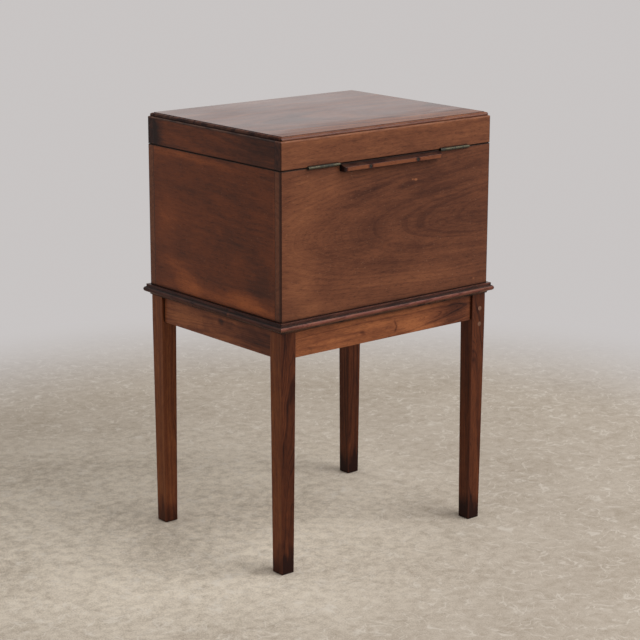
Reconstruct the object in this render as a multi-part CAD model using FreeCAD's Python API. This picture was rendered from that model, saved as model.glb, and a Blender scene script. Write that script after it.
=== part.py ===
"""Cellarette: a hinged-lid bottle box that sits in the moulded frame of a four-legged stand.

Millimetres.  +Z is up, the floor is Z = 0, X runs along the width and the front faces -Y.
The origin is on the floor under the middle of the box.
"""
import FreeCAD
import Part
import math
import os

Vector = FreeCAD.Vector

# ---- stand ---------------------------------------------------------------------------
leg_length = 402.7
leg_size = 29.1            # square section beside the aprons
leg_foot_size = 24.5       # square section at the floor
leg_chamfer = 0.8          # eased corners of each leg
foot_chamfer = 1.2
leg_inset = 1.2            # outer faces of the legs lie this far inside the box faces
apron_height = 44.4
apron_thickness = 18.0
apron_setback = 4.8        # from the outer leg face to the apron face
tenon_thickness = 8.0
tenon_length = 10.0
tenon_shoulder = 6.0       # above and below each tenon
mortise_end_gap = 0.5
glue_block_size = 11.0
glue_block_length = 45.0
glue_block_spacing = 0.42  # share of the apron length between the two blocks of a side

# ---- moulded frame on the stand --------------------------------------------------------
moulding_projection = 9.1  # nose of the bead beyond the box face
moulding_lip_thickness = 9.9
moulding_lip_reach = 35.0  # inwards from the box face
moulding_top_width = 5.2   # flat ledge outside the box
moulding_fillet_height = 4.4
moulding_quirk = 0.6       # how far the bead starts inside the ledge above it
moulding_bead_height = 9.0
moulding_cove_radius = 4.1
box_seat_clearance = 0.5   # between the box faces and the rim of the frame

# ---- box -------------------------------------------------------------------------------
body_width = 446.0
body_depth = 351.2
box_height = 246.0
board_thickness = 15.0
corner_tongue_thickness = 5.0
corner_tongue_length = 6.0
arris_radius = 1.5
bottom_thickness = 9.0
bottom_groove = 7.5        # how far the bottom reaches into the boards
bottom_lip = 3.0           # board left below the bottom
cell_columns = 4
cell_rows = 3
partition_thickness = 6.0
partition_height = 130.0
partition_housing = 2.0    # depth of the grooves that hold the partition ends
halving_clearance = 0.15

# ---- lid -------------------------------------------------------------------------------
seam_gap = 0.4
lid_height = 52.0
lid_rail_round = 3.0       # outer top edges of the lid rails
lid_top_edge = 6.2         # part of the top panel that shows above the rails
lid_top_tongue = 4.0       # part that drops between the rails
lid_step_height = 0.8      # small step round the raised field of the top
lid_step_inset = 7.6
lid_panel_inset = 2.2      # from the rail faces to the edge of the panel
lid_edge_radius = 4.8
lid_corner_radius = 3.0

# ---- lid stop rail on the back -----------------------------------------------------------
stop_rail_hinge_gap = 3.0  # between each end of the rail and the hinge beside it
stop_rail_projection = 12.0
stop_rail_height = 10.6
stop_rail_drop = 1.0       # below the top edge of the box
stop_rail_slope = 3.4      # fall of the sloping top
stop_rail_flat = 2.0       # level part of the top, beside the box
stop_rail_arris = 1.2
stop_rail_end_radius = 3.0
stop_rail_screw_spacing = 101.0

# ---- butt hinges -------------------------------------------------------------------------
hinge_length = 64.0
hinge_inset = 83.5         # from each end of the box to the middle of a hinge
leaf_thickness = 1.3
leaf_width = 11.0          # inwards from the back face
knuckle_radius = 2.5
knuckle_count = 5
knuckle_end_gap = 0.2
knuckle_wood_clearance = 0.1
knuckle_running_clearance = 0.15
hinge_pin_radius = 1.2
hinge_pin_clearance = 0.05
hinge_screw_spacing = 22.0

# ---- box lock ----------------------------------------------------------------------------
lock_plate_width = 64.0
lock_plate_height = 40.0
lock_plate_thickness = 1.5
lock_case_width = 54.0
lock_case_wall = 1.0
lock_case_depth = 8.5      # from the inner board face to the front of the case
bolt_thickness = 2.6
bolt_bar_length = 40.0
bolt_bar_height = 9.0
bolt_bar_drop = 11.0       # top of the bar below the top edge of the box
bolt_finger_height = 3.6
bolt_post_width = 5.0
bolt_travel = 6.0
bolt_clearance = 0.4
stump_size = 2.4           # square stumps that the bolt slides on
stump_collar = 4.8
stump_running_clearance = 0.1
stump_collar_gap = 0.3
stump_places = (-12.0, 11.0)
stump_drop = 3.4           # below the top of the bar
talon_width = 6.0
talon_depth = 3.0
staple_spacing = 24.0
staple_thickness = 2.5
staple_length = 9.5
staple_slot_clearance = 0.6
staple_eye_clearance = 0.25
link_plate_width = 58.0
link_plate_depth = 8.5
link_plate_thickness = 1.5
drill_pin_radius = 1.1
drill_pin_drop = 28.0      # below the top edge of the box
keyhole_radius = 1.9
keyhole_slot_width = 2.0
keyhole_slot_length = 7.0

# ---- screws ------------------------------------------------------------------------------
screw_sides = 8
screw_clearance = 0.05
screw_sink = 0.3           # heads lie this far below the surface
slot_width = 0.7
slot_depth = 0.8
frame_screw = {"head": 3.5, "shank": 1.8, "length": 26.0}
rail_screw = {"head": 2.9, "shank": 1.6, "length": 23.0}
hinge_screw = {"head": 2.4, "shank": 1.2, "length": 12.0}
lock_screw = {"head": 2.0, "shank": 1.0, "length": 4.0}
link_screw = {"head": 2.2, "shank": 1.1, "length": 11.0}

# ---- old plugs in one leg ------------------------------------------------------------------
plug_radius = 3.7
plug_depth = 5.0
plug_drops = (53.3, 26.1)  # below the top of the leg
plug_offset = 12.1         # from the outer side face of the leg

# ---- cutting tools ---------------------------------------------------------------------------
tool_margin = 1.0          # how far a tool stands proud of the surface that it cuts

# ---- levels and planes that follow from the sizes above --------------------------------------
half_width = body_width / 2
half_depth = body_depth / 2
leg_half_span_x = half_width - leg_inset
leg_half_span_y = half_depth - leg_inset
apron_bottom = leg_length - apron_height
moulding_height = moulding_fillet_height + moulding_bead_height + moulding_cove_radius
seat_level = leg_length + moulding_lip_thickness
box_top = seat_level + box_height
bottom_top = seat_level + bottom_lip + bottom_thickness
partition_top = bottom_top + partition_height
lid_bottom = box_top + seam_gap
lid_upper = lid_bottom + lid_height
rail_top = lid_upper - lid_top_edge
inner_half_width = half_width - board_thickness
inner_half_depth = half_depth - board_thickness
hinge_axis_y = half_depth + knuckle_radius + knuckle_wood_clearance
hinge_axis_z = box_top + seam_gap / 2
hinge_inner_end = half_width - hinge_inset - hinge_length / 2
stop_rail_length = 2 * (hinge_inner_end - stop_rail_hinge_gap)
plug_heights = [leg_length - drop for drop in plug_drops]

# Quarter turns about Z that carry a front member to its side, the length of the body along
# that side and the distance from the middle to its face.
SIDES = {
    "front": (0, body_width, half_depth),
    "right": (1, body_depth, half_width),
    "back": (2, body_width, half_depth),
    "left": (3, body_depth, half_width),
}


# ---- helpers -----------------------------------------------------------------------------
def block(x, y, z):
    """Box between the low and high bounds x, y and z."""
    size = (x[1] - x[0], y[1] - y[0], z[1] - z[0])
    return Part.makeBox(*size, Vector(x[0], y[0], z[0]))


def turned(shape, quarter_turns):
    """Copy of a front member turned about Z to another side."""
    copy = shape.copy()
    copy.rotate(Vector(0, 0, 0), Vector(0, 0, 1), 90 * quarter_turns)
    return copy


def moved(shape, x=0, y=0, z=0):
    copy = shape.copy()
    copy.translate(Vector(x, y, z))
    return copy


def prism(points, height):
    """Upright prism on a closed outline of (x, y, z) points."""
    outline = [Vector(*point) for point in points]
    face = Part.Face(Part.makePolygon(outline + outline[:1]))
    return face.extrude(Vector(0, 0, height))


def faceted(outlines):
    """Solid with flat sides through closed outlines that all have the same number of corners."""
    faces = [Part.Face(Part.makePolygon(points + points[:1])) for points in
             (outlines[0], outlines[-1])]
    for lower, upper in zip(outlines, outlines[1:]):
        for i in range(len(lower)):
            side = [lower[i - 1], lower[i], upper[i], upper[i - 1], lower[i - 1]]
            faces.append(Part.Face(Part.makePolygon(side)))
    return Part.makeSolid(Part.makeShell(faces))


def pick_edges(shape, wanted):
    """Edges whose bounding box passes the test."""
    return [edge for edge in shape.Edges if wanted(edge.BoundBox)]


def near(value, target):
    return abs(value - target) < 1e-4


def cut_all(shape, tools):
    for tool in tools:
        shape = shape.cut(tool)
    return shape


# ---- screws ------------------------------------------------------------------------------
def ring(radius, z):
    """Corners of a regular outline round the Z axis."""
    step = 2 * math.pi / screw_sides
    return [Vector(radius * math.cos((i + 0.5) * step), radius * math.sin((i + 0.5) * step), z)
            for i in range(screw_sides)]


def screw_body(kind, growth, rise):
    """Countersunk screw pointing down; the top of its head is at Z = 0, or rise above that."""
    head = kind["head"]
    shank = kind["shank"]
    levels = [(shank, -kind["length"] - growth), (shank, shank - head), (head, 0)]
    if rise:
        levels.append((head, rise))
    return faceted([ring(radius + growth, z) for radius, z in levels])


def wood_screw(kind):
    reach = kind["head"] + tool_margin
    slot = block((-slot_width / 2, slot_width / 2), (-reach, reach), (-slot_depth, tool_margin))
    return screw_body(kind, 0, 0).cut(slot)


def screw_bore(kind):
    """Space for a screw, with its countersink open to the surface."""
    return screw_body(kind, screw_clearance, screw_sink + tool_margin)


def aimed(shape, place, direction):
    """A shape that points down -Z, turned to point along direction, with its head at place."""
    copy = shape.copy()
    turn = FreeCAD.Rotation(Vector(0, 0, -1), direction)
    copy.Placement = FreeCAD.Placement(place + direction * screw_sink, turn)
    return copy


def screw_set(kind, places, direction):
    """Screws and their bores at surface points, all pointing one way."""
    screws = [aimed(wood_screw(kind), place, direction) for place in places]
    bores = [aimed(screw_bore(kind), place, direction) for place in places]
    return screws, bores


# ---- stand ---------------------------------------------------------------------------------
def leg_outline(size, x, y, z):
    """Corners of a square with eased corners, centred on x, y."""
    a = size / 2
    b = a - leg_chamfer
    corners = [(b, a), (a, b), (a, -b), (b, -a), (-b, -a), (-a, -b), (-a, b), (-b, a)]
    return [Vector(x + dx, y + dy, z) for dx, dy in corners]


def leg_blank(sign_x, sign_y):
    """Leg before it is mortised: square at the top, tapering evenly to the foot."""
    x = sign_x * (leg_half_span_x - leg_size / 2)
    y = sign_y * (leg_half_span_y - leg_size / 2)
    return faceted([
        leg_outline(leg_foot_size - 2 * foot_chamfer, x, y, 0),
        leg_outline(leg_foot_size, x, y, foot_chamfer),
        leg_outline(leg_size, x, y, apron_bottom),
        leg_outline(leg_size, x, y, leg_length),
    ])


def apron(side, length_past_shoulder=tenon_length):
    """Apron with a tenon at each end; a longer tenon gives the tool for the mortises."""
    turns, length, distance = SIDES[side]
    half_clear = length / 2 - leg_inset - leg_size
    outer = distance - leg_inset - apron_setback
    board = block((-half_clear, half_clear), (-outer, -outer + apron_thickness),
                  (apron_bottom, leg_length))
    middle = -outer + apron_thickness / 2
    reach = half_clear + length_past_shoulder
    tenon = block((-reach, reach), (middle - tenon_thickness / 2, middle + tenon_thickness / 2),
                  (apron_bottom + tenon_shoulder, leg_length - tenon_shoulder))
    return turned(board.fuse(tenon).removeSplitter(), turns)


def legs_and_plugs():
    """Four mortised legs, and the two round plugs let into the back left leg."""
    mortise_tools = [apron(side, tenon_length + mortise_end_gap) for side in SIDES]
    legs = {}
    for depth_name, sign_y in (("front", -1), ("back", 1)):
        for width_name, sign_x in (("left", -1), ("right", 1)):
            blank = leg_blank(sign_x, sign_y)
            legs[f"leg_{depth_name}_{width_name}"] = cut_all(blank, mortise_tools)
    plugged = "leg_back_left"
    plug_x = -leg_half_span_x + plug_offset
    plugs = []
    for height in plug_heights:
        start = Vector(plug_x, leg_half_span_y - plug_depth, height)
        rod = Part.makeCylinder(plug_radius, plug_depth + tool_margin, start, Vector(0, 1, 0))
        plugs.append(rod.common(legs[plugged]))
    legs[plugged] = cut_all(legs[plugged], plugs)
    return legs, plugs


def glue_blocks():
    """Triangular blocks in the angle of each apron and the frame above it, two to a side."""
    blocks = []
    for turns, length, distance in SIDES.values():
        inner = -(distance - leg_inset - apron_setback - apron_thickness)
        start = -glue_block_length / 2
        corners = [
            Vector(start, inner, leg_length),
            Vector(start, inner + glue_block_size, leg_length),
            Vector(start, inner, leg_length - glue_block_size),
        ]
        face = Part.Face(Part.makePolygon(corners + corners[:1]))
        solid = face.extrude(Vector(glue_block_length, 0, 0))
        shift = length * glue_block_spacing / 2
        blocks.append(turned(moved(solid, -shift), turns))
        blocks.append(turned(moved(solid, shift), turns))
    return blocks


def moulding_profile(distance, start):
    """Section of the frame, from the lip under the box out to the fillet, bead and cove."""
    def point(outwards, up):
        return Vector(start, -(distance + outwards), leg_length + up)

    edge = moulding_top_width
    bead = edge - moulding_quirk
    cove = moulding_cove_radius
    fillet_foot = cove + moulding_bead_height
    nose = cove + moulding_bead_height / 2
    cove_middle = cove * math.sin(math.radians(45))
    inner = -moulding_lip_reach
    path = [
        Part.makeLine(point(inner, 0), point(inner, moulding_lip_thickness)),
        Part.makeLine(point(inner, moulding_lip_thickness),
                      point(box_seat_clearance, moulding_lip_thickness)),
        Part.makeLine(point(box_seat_clearance, moulding_lip_thickness),
                      point(box_seat_clearance, moulding_height)),
        Part.makeLine(point(box_seat_clearance, moulding_height), point(edge, moulding_height)),
        Part.makeLine(point(edge, moulding_height), point(edge, fillet_foot)),
        Part.makeLine(point(edge, fillet_foot), point(bead, fillet_foot)),
        Part.Arc(point(bead, fillet_foot), point(moulding_projection, nose),
                 point(bead, cove)).toShape(),
        Part.Arc(point(bead, cove), point(bead - cove_middle, cove_middle),
                 point(bead - cove, 0)).toShape(),
        Part.makeLine(point(bead - cove, 0), point(inner, 0)),
    ]
    return Part.Face(Part.Wire(path))


def moulding(side):
    """One mitred member of the frame."""
    turns, length, distance = SIDES[side]
    outer = length / 2 + moulding_projection
    inner = length / 2 - moulding_lip_reach
    bar = moulding_profile(distance, -outer).extrude(Vector(2 * outer, 0, 0))
    plan = [
        (-outer, -distance - moulding_projection, leg_length),
        (outer, -distance - moulding_projection, leg_length),
        (inner, -distance + moulding_lip_reach, leg_length),
        (-inner, -distance + moulding_lip_reach, leg_length),
    ]
    return turned(bar.common(prism(plan, moulding_height)), turns)


def frame_screw_places():
    """Two screws to a side, through the lip into the middle of the apron edge."""
    places = []
    for turns, length, distance in SIDES.values():
        y = -(distance - leg_inset - apron_setback - apron_thickness / 2)
        for share in (-0.25, 0.25):
            spot = Part.Vertex(share * length, y, seat_level)
            places.append(turned(spot, turns).Point)
    return places


def build_stand():
    aprons = {f"apron_{side}": apron(side) for side in SIDES}
    mouldings = {f"moulding_{side}": moulding(side) for side in SIDES}
    screws, bores = screw_set(frame_screw, frame_screw_places(), Vector(0, 0, -1))
    bored = {name: cut_all(shape, bores) for name, shape in {**aprons, **mouldings}.items()}
    legs, plugs = legs_and_plugs()
    return {
        **legs,
        **bored,
        "glue_blocks": Part.makeCompound(glue_blocks()),
        "frame_screws": Part.makeCompound(screws),
        "leg_plugs": Part.makeCompound(plugs),
    }


# ---- boards of the box and rails of the lid ----------------------------------------------------
def rounded_outline(low, high, inset=0.0, radius=arris_radius):
    """Width and depth of the box less an inset, with the four upright arrises rounded."""
    x = half_width - inset
    y = half_depth - inset
    body = block((-x, x), (-y, y), (low, high))
    uprights = pick_edges(body, lambda b: near(b.XMin, b.XMax) and near(b.YMin, b.YMax))
    return body.makeFillet(radius, uprights)


def eased(board, roundings, outline):
    """Board with its outer arrises rounded: level ones, as (height, radius), and the corners."""
    def is_outer_level(bounds, height):
        front = near(bounds.YMin, -half_depth) and near(bounds.YMax, -half_depth)
        end = near(bounds.XMin, bounds.XMax) and near(abs(bounds.XMin), half_width)
        level = near(bounds.ZMin, bounds.ZMax) and near(bounds.ZMin, height)
        return level and (front or end)

    for height, radius in roundings:
        edges = pick_edges(board, lambda b: is_outer_level(b, height))
        board = board.makeFillet(radius, edges)
    return board.common(outline)


def board_frame(low, high, roundings):
    """Four boards: front and back run the full width, the ends are tongued into them."""
    outline = rounded_outline(low, high)
    long_board = block((-half_width, half_width), (-half_depth, -inner_half_depth), (low, high))
    long_board = eased(long_board, roundings, outline)
    groove_x = (inner_half_width, inner_half_width + corner_tongue_thickness)
    groove_y = (-inner_half_depth - corner_tongue_length, -inner_half_depth)
    groove = block(groove_x, groove_y, (low, high))
    long_board = cut_all(long_board, [groove, groove.mirror(Vector(0, 0, 0), Vector(1, 0, 0))])

    end_board = block((inner_half_width, half_width), (-inner_half_depth, inner_half_depth),
                      (low, high))
    end_board = eased(end_board, roundings, outline)
    reach = inner_half_depth + corner_tongue_length
    end_board = end_board.fuse(block(groove_x, (-reach, reach), (low, high))).removeSplitter()
    return {
        "front": long_board,
        "back": turned(long_board, 2),
        "right": end_board,
        "left": turned(end_board, 2),
    }


def cell_lines(count, half_inside):
    """Middle lines of the partitions that divide an inside length into equal cells."""
    cell = (2 * half_inside - (count - 1) * partition_thickness) / count
    pitch = cell + partition_thickness
    return [-half_inside + pitch * (i + 1) - partition_thickness / 2 for i in range(count - 1)]


def partitions():
    """Bottle partitions, halved over each other, with their ends housed in the boards."""
    half = partition_thickness / 2
    level = (bottom_top, partition_top)
    cross_x = cell_lines(cell_columns, inner_half_width)
    long_y = cell_lines(cell_rows, inner_half_depth)
    middle = (bottom_top + partition_top) / 2
    reach_x = inner_half_width + partition_housing
    reach_y = inner_half_depth + partition_housing
    slot = half + halving_clearance
    pieces = {}
    for i, x in enumerate(cross_x):
        board = block((x - half, x + half), (-reach_y, reach_y), level)
        notches = [block((x - half, x + half), (y - slot, y + slot), (level[0], middle))
                   for y in long_y]
        pieces[f"partition_cross_{i + 1}"] = cut_all(board, notches)
    for i, y in enumerate(long_y):
        board = block((-reach_x, reach_x), (y - half, y + half), level)
        notches = [block((x - slot, x + slot), (y - half, y + half), (middle, level[1]))
                   for x in cross_x]
        pieces[f"partition_long_{i + 1}"] = cut_all(board, notches)
    return pieces


def bottom_board():
    """Bottom of the box, held in grooves in the four boards."""
    reach_x = inner_half_width + bottom_groove
    reach_y = inner_half_depth + bottom_groove
    return block((-reach_x, reach_x), (-reach_y, reach_y), (seat_level + bottom_lip, bottom_top))


# ---- stop rail -----------------------------------------------------------------------------
def stop_rail():
    """Rail on the back, with a sloping top, that the open lid leans on."""
    half = stop_rail_length / 2
    outer = half_depth + stop_rail_projection
    high = box_top - stop_rail_drop
    low = high - stop_rail_height
    section = [(half_depth, low), (outer, low), (outer, high - stop_rail_slope),
               (half_depth + stop_rail_flat, high), (half_depth, high)]
    corners = [Vector(-half, y, z) for y, z in section]
    face = Part.Face(Part.makePolygon(corners + corners[:1]))
    bar = face.extrude(Vector(stop_rail_length, 0, 0))
    arrises = pick_edges(bar, lambda b: near(b.YMin, outer) and near(b.ZMin, b.ZMax))
    plan = block((-half, half), (half_depth, outer), (low, high))
    ends = pick_edges(plan, lambda b: near(b.YMin, outer) and near(b.XMin, b.XMax))
    return bar.makeFillet(stop_rail_arris, arrises).common(
        plan.makeFillet(stop_rail_end_radius, ends))


def stop_rail_screw_places():
    y = half_depth + stop_rail_projection
    z = box_top - stop_rail_drop - (stop_rail_slope + stop_rail_height) / 2
    return [Vector(sign * stop_rail_screw_spacing / 2, y, z) for sign in (-1, 1)]


# ---- hinges ----------------------------------------------------------------------------------
def hinge_barrel(radius, first, last, growth=0):
    """Cylinder on the hinge axis over knuckles first to last, grown at both ends."""
    width = hinge_length / knuckle_count
    start = -hinge_length / 2 + first * width - growth
    length = (last - first + 1) * width + 2 * growth
    base = Vector(start, hinge_axis_y, hinge_axis_z)
    return Part.makeCylinder(radius, length, base, Vector(1, 0, 0))


def hinge_leaf(on_lid):
    """Leaf with its share of the knuckles, hinge middle at X = 0."""
    inner = half_depth - leaf_width
    if on_lid:
        level = (lid_bottom, lid_bottom + leaf_thickness)
    else:
        level = (box_top - leaf_thickness, box_top)
    half = hinge_length / 2
    leaf = block((-half, half), (inner, hinge_axis_y), level)
    first_own = 1 if on_lid else 0
    own = range(first_own, knuckle_count, 2)
    other = range(1 - first_own, knuckle_count, 2)
    for i in own:
        leaf = leaf.fuse(hinge_barrel(knuckle_radius, i, i, -knuckle_end_gap / 2))
    for i in other:
        room = knuckle_radius + knuckle_running_clearance
        leaf = leaf.cut(hinge_barrel(room, i, i, knuckle_end_gap / 2))
    bore_radius = hinge_pin_radius + hinge_pin_clearance
    bore = hinge_barrel(bore_radius, 0, knuckle_count - 1, tool_margin)
    return leaf.cut(bore).removeSplitter()


def hinge_pin():
    return hinge_barrel(hinge_pin_radius, 0, knuckle_count - 1, 0)


def hinge_gain(on_lid):
    """Shallow recess that a leaf is let into."""
    half = hinge_length / 2
    if on_lid:
        level = (lid_bottom, lid_bottom + leaf_thickness)
    else:
        level = (box_top - leaf_thickness, box_top)
    return block((-half, half), (half_depth - leaf_width, half_depth + tool_margin), level)


def hinge_screw_places(centre, level):
    y = half_depth - leaf_width / 2
    return [Vector(centre + i * hinge_screw_spacing, y, level) for i in (-1, 0, 1)]


HINGE_CENTRES = {"left": hinge_inset - half_width, "right": half_width - hinge_inset}


# ---- lock ------------------------------------------------------------------------------------
case_inner_y = (-(inner_half_depth + lock_case_depth - lock_case_wall),
                -(inner_half_depth + lock_plate_thickness))
case_outer_y = -(inner_half_depth + lock_case_depth)
case_low = box_top - lock_plate_height + lock_case_wall
selvedge_bottom = box_top - lock_plate_thickness
lock_middle_y = sum(case_inner_y) / 2
bolt_y = (lock_middle_y - bolt_thickness / 2, lock_middle_y + bolt_thickness / 2)
bar_top = box_top - bolt_bar_drop
stump_level = bar_top - stump_drop


def staple_lines():
    """X of the middle of each staple; the bolt fingers stand just to the left at rest."""
    return [-staple_spacing / 2, staple_spacing / 2]


def staple_y(growth):
    """Y range of the staples, centred on the bolt."""
    half = (case_inner_y[1] - case_inner_y[0]) / 2 - staple_slot_clearance + growth
    return (lock_middle_y - half, lock_middle_y + half)


def staple_slots():
    """Slots in the selvedge that the staples drop through."""
    half = staple_thickness / 2 + staple_slot_clearance
    return [block((x - half, x + half), staple_y(staple_slot_clearance),
                  (selvedge_bottom - tool_margin, box_top + tool_margin)) for x in staple_lines()]


def keyhole(y_low, y_high):
    """Round-topped keyhole cut along Y past both faces, with the slot for the bit below."""
    level = box_top - drill_pin_drop
    span = (y_low - tool_margin, y_high + tool_margin)
    start = Vector(0, span[0], level)
    hole = Part.makeCylinder(keyhole_radius, span[1] - span[0], start, Vector(0, 1, 0))
    half = keyhole_slot_width / 2
    slot = block((-half, half), span, (level - keyhole_slot_length, level))
    return hole.fuse(slot)


def stump(x, size, y_front):
    """Square peg from the back plate forward to y_front."""
    half = size / 2
    return block((x - half, x + half), (y_front, -inner_half_depth - lock_plate_thickness),
                 (stump_level - half, stump_level + half))


def lock_plate():
    """Back plate and selvedge in one, with the drill pin for the key and the bolt's stumps."""
    half = lock_plate_width / 2
    back = block((-half, half), (-inner_half_depth - lock_plate_thickness, -inner_half_depth),
                 (box_top - lock_plate_height, box_top))
    selvedge = block((-half, half), (case_outer_y, -inner_half_depth), (selvedge_bottom, box_top))
    plate = cut_all(back.fuse(selvedge), staple_slots())
    start = Vector(0, -inner_half_depth - lock_plate_thickness, box_top - drill_pin_drop)
    pin_length = lock_case_depth - lock_plate_thickness
    plate = plate.fuse(Part.makeCylinder(drill_pin_radius, pin_length, start, Vector(0, -1, 0)))
    for x in stump_places:
        plate = plate.fuse(stump(x, stump_collar, bolt_y[1] + stump_collar_gap))
        plate = plate.fuse(stump(x, stump_size, case_inner_y[0]))
    return plate.removeSplitter()


def lock_case():
    """Brass cap over the bolt, open towards the back plate and the selvedge."""
    half = lock_case_width / 2
    outer = block((-half, half), (case_outer_y, case_inner_y[1]), (case_low, selvedge_bottom))
    wall = lock_case_wall
    inner = block((-half + wall, half - wall), case_inner_y, (case_low + wall, selvedge_bottom))
    return outer.cut(inner).cut(keyhole(case_outer_y, case_inner_y[0]))


def lock_bolt():
    """Sliding bar with two hooked fingers, drawn clear of the staples."""
    bar_low = bar_top - bolt_bar_height
    post_top = selvedge_bottom - bolt_clearance
    tips = [x - staple_thickness / 2 - bolt_clearance for x in staple_lines()]
    bar_start = tips[0] - bolt_travel - bolt_post_width
    bolt = block((bar_start, bar_start + bolt_bar_length), bolt_y, (bar_low, bar_top))
    for tip in tips:
        root = tip - bolt_travel
        post = block((root - bolt_post_width, root), bolt_y, (bar_top, post_top))
        finger = block((root, tip), bolt_y, (post_top - bolt_finger_height, post_top))
        bolt = bolt.fuse(post).fuse(finger)
    talon = block((-talon_width / 2, talon_width / 2), bolt_y, (bar_low, bar_low + talon_depth))
    slots = [bolt_slot(x) for x in stump_places]
    return cut_all(bolt, [talon] + slots).removeSplitter()


def bolt_slot(x):
    """Slot that lets the bolt travel past the stump at x."""
    half = stump_size / 2 + stump_running_clearance
    return block((x - half - bolt_travel, x + half), bolt_y, (stump_level - half, stump_level + half))


def link_plate_body():
    half = link_plate_width / 2
    deep = link_plate_depth / 2
    return block((-half, half), (lock_middle_y - deep, lock_middle_y + deep),
                 (lid_bottom, lid_bottom + link_plate_thickness))


def link_plate():
    """Plate let into the lid, with two eyed staples that drop into the lock."""
    plate = link_plate_body()
    room = staple_eye_clearance
    finger_top = selvedge_bottom - bolt_clearance
    eye_z = (finger_top - bolt_finger_height - room, finger_top + room)
    eye_y = (bolt_y[0] - room, bolt_y[1] + room)
    for x in staple_lines():
        side = (x - staple_thickness / 2, x + staple_thickness / 2)
        staple = block(side, staple_y(0), (lid_bottom - staple_length, lid_bottom))
        plate = plate.fuse(staple.cut(block(side, eye_y, eye_z)))
    return plate.removeSplitter()


def lock_recess():
    """Mortise in the front board for the plate, the selvedge and the case."""
    half = lock_plate_width / 2
    plate = block((-half, half), (-inner_half_depth - lock_plate_thickness, -inner_half_depth),
                  (box_top - lock_plate_height, box_top))
    selvedge = block((-half, half), (case_outer_y, -inner_half_depth), (selvedge_bottom, box_top))
    half_case = lock_case_width / 2
    case = block((-half_case, half_case), (case_outer_y, -inner_half_depth), (case_low, box_top))
    return [plate, selvedge, case]


def lock_screw_places():
    x = (lock_plate_width + lock_case_width) / 4
    low = box_top - lock_plate_height
    levels = (low + lock_plate_height * 0.2, low + lock_plate_height * 0.75)
    return [Vector(sign * x, -inner_half_depth, z) for sign in (-1, 1) for z in levels]


def link_screw_places():
    x = (staple_spacing / 2 + link_plate_width / 2) / 2 + staple_thickness
    return [Vector(sign * x, lock_middle_y, lid_bottom) for sign in (-1, 1)]


# ---- box and lid -------------------------------------------------------------------------------
def build_box():
    boards = board_frame(seat_level, box_top, [(box_top, arris_radius)])
    bottom = bottom_board()
    dividers = partitions()
    seats = [bottom] + housed_ends()
    rail_screws, rail_bores = screw_set(rail_screw, stop_rail_screw_places(), Vector(0, -1, 0))
    lock_screws, lock_bores = screw_set(lock_screw, lock_screw_places(), Vector(0, -1, 0))
    boards = {side: cut_all(board, seats) for side, board in boards.items()}
    front_cuts = lock_recess() + lock_bores + [keyhole(-half_depth, case_outer_y)]
    boards["front"] = cut_all(boards["front"], front_cuts)

    hinge_nodes = {}
    hinge_screws = []
    back_cuts = list(rail_bores)
    for name, centre in HINGE_CENTRES.items():
        places = hinge_screw_places(centre, box_top)
        screws, bores = screw_set(hinge_screw, places, Vector(0, 0, -1))
        hinge_screws += screws
        back_cuts += bores + [moved(hinge_gain(False), centre)]
        leaf = moved(hinge_leaf(False), centre)
        hinge_nodes[f"hinge_box_leaf_{name}"] = cut_all(leaf, bores)
        hinge_nodes[f"hinge_pin_{name}"] = moved(hinge_pin(), centre)
    boards["back"] = cut_all(boards["back"], back_cuts)

    return {
        **{f"box_{side}": board for side, board in boards.items()},
        "box_bottom": bottom,
        **dividers,
        "stop_rail": cut_all(stop_rail(), rail_bores),
        "stop_rail_screws": Part.makeCompound(rail_screws),
        **hinge_nodes,
        "hinge_box_screws": Part.makeCompound(hinge_screws),
        "lock_plate": cut_all(lock_plate(), lock_bores),
        "lock_case": lock_case(),
        "lock_screws": Part.makeCompound(lock_screws),
        "lock_bolt": lock_bolt(),
    }


def housed_ends():
    """Grooves for the partition ends, as deep as the housings."""
    half = partition_thickness / 2
    level = (bottom_top, partition_top)
    reach_x = inner_half_width + partition_housing
    reach_y = inner_half_depth + partition_housing
    grooves = [block((x - half, x + half), (-reach_y, reach_y), level)
               for x in cell_lines(cell_columns, inner_half_width)]
    grooves += [block((-reach_x, reach_x), (y - half, y + half), level)
                for y in cell_lines(cell_rows, inner_half_depth)]
    return grooves


def lid_panel():
    """Top panel: raised field, small step and rounded edge, with a tongue between the rails."""
    shoulder = lid_upper - lid_step_height
    outline = rounded_outline(rail_top, lid_upper, lid_panel_inset, lid_corner_radius)
    x = half_width - lid_panel_inset
    y = half_depth - lid_panel_inset
    slab = block((-x, x), (-y, y), (rail_top, shoulder))
    rim = pick_edges(slab, lambda b: near(b.ZMin, shoulder) and near(b.ZMax, shoulder))
    slab = slab.makeFillet(lid_edge_radius, rim).common(outline)
    field_x = half_width - lid_step_inset
    field_y = half_depth - lid_step_inset
    field = block((-field_x, field_x), (-field_y, field_y), (shoulder, lid_upper))
    tongue = block((-inner_half_width, inner_half_width), (-inner_half_depth, inner_half_depth),
                   (rail_top - lid_top_tongue, rail_top))
    return slab.fuse(field).fuse(tongue).removeSplitter()


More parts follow.
